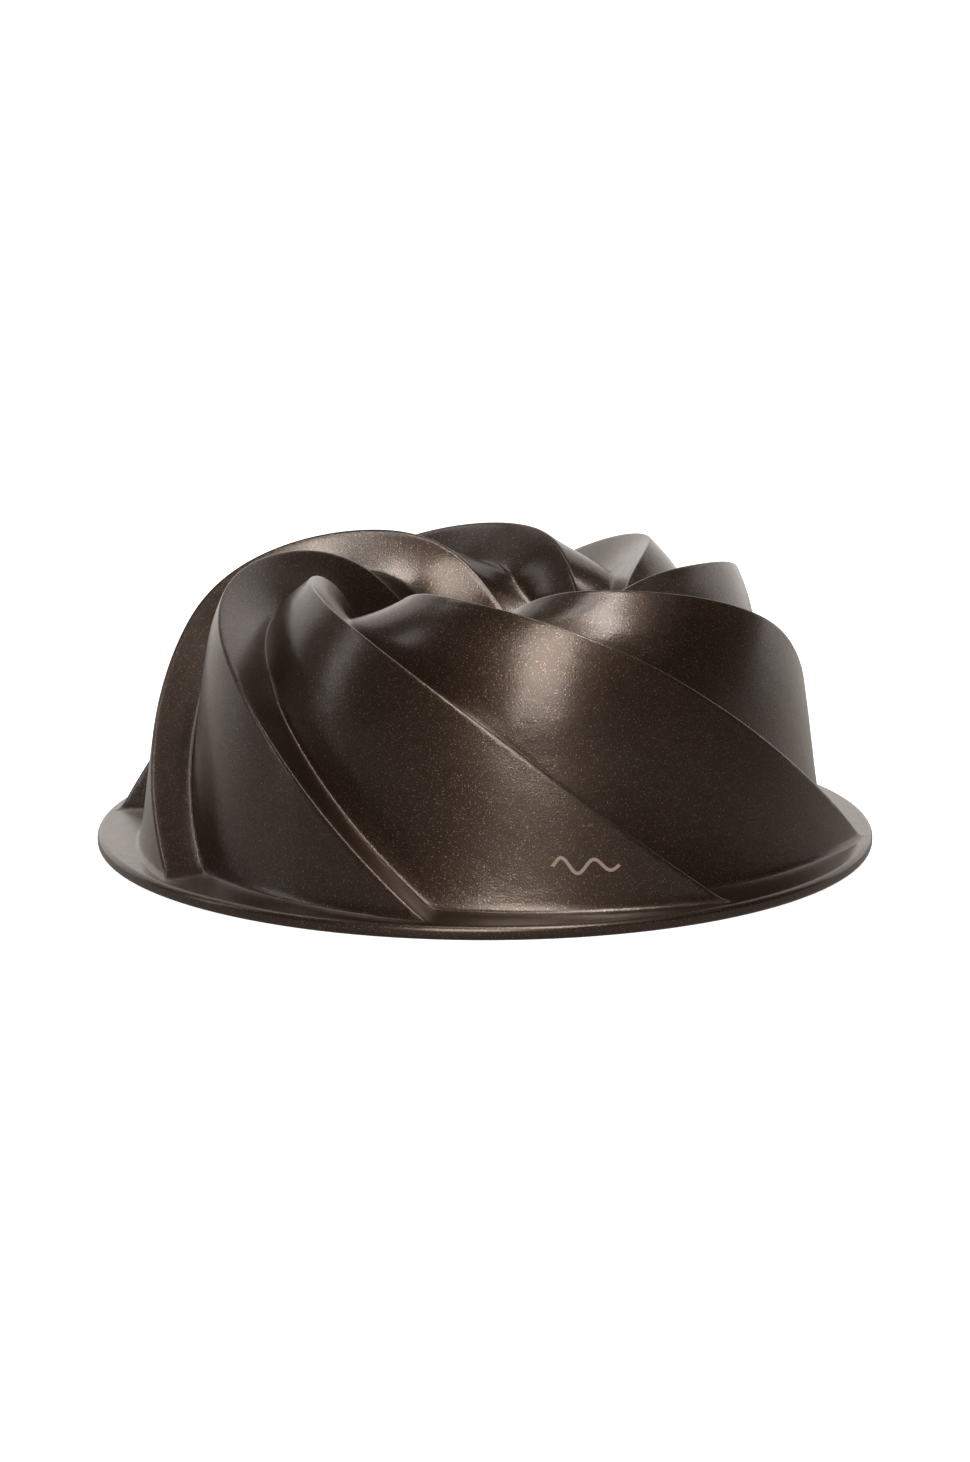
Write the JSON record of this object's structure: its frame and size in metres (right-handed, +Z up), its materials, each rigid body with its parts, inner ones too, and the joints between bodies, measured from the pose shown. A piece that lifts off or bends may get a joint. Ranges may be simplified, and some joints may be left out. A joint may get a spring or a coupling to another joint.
{
  "type": "swirl ring cake pan",
  "caption": "Cast aluminium ring cake pan with swirled petals and a hollow centre tube, standing upside down on its flat rim flange.",
  "frame": {"origin": "centre of the flat face of the rim flange, the face that the upturned pan rests on", "axes": "+Z up through the centre tube towards the crown, -Y towards the petal that carries the printed flourish"},
  "size_m": [0.26, 0.26, 0.0948],
  "materials": {
    "cast_aluminium": "satin",
    "metallic_coating": "semi-gloss metallic",
    "release_coating": "satin",
    "mark_ink": "matte"
  },
  "bodies": {
    "root": {"cast_body": "cast_aluminium", "exterior_coating": "metallic_coating", "interior_coating": "release_coating", "printed_mark": "mark_ink"}
  },
  "joints": []
}
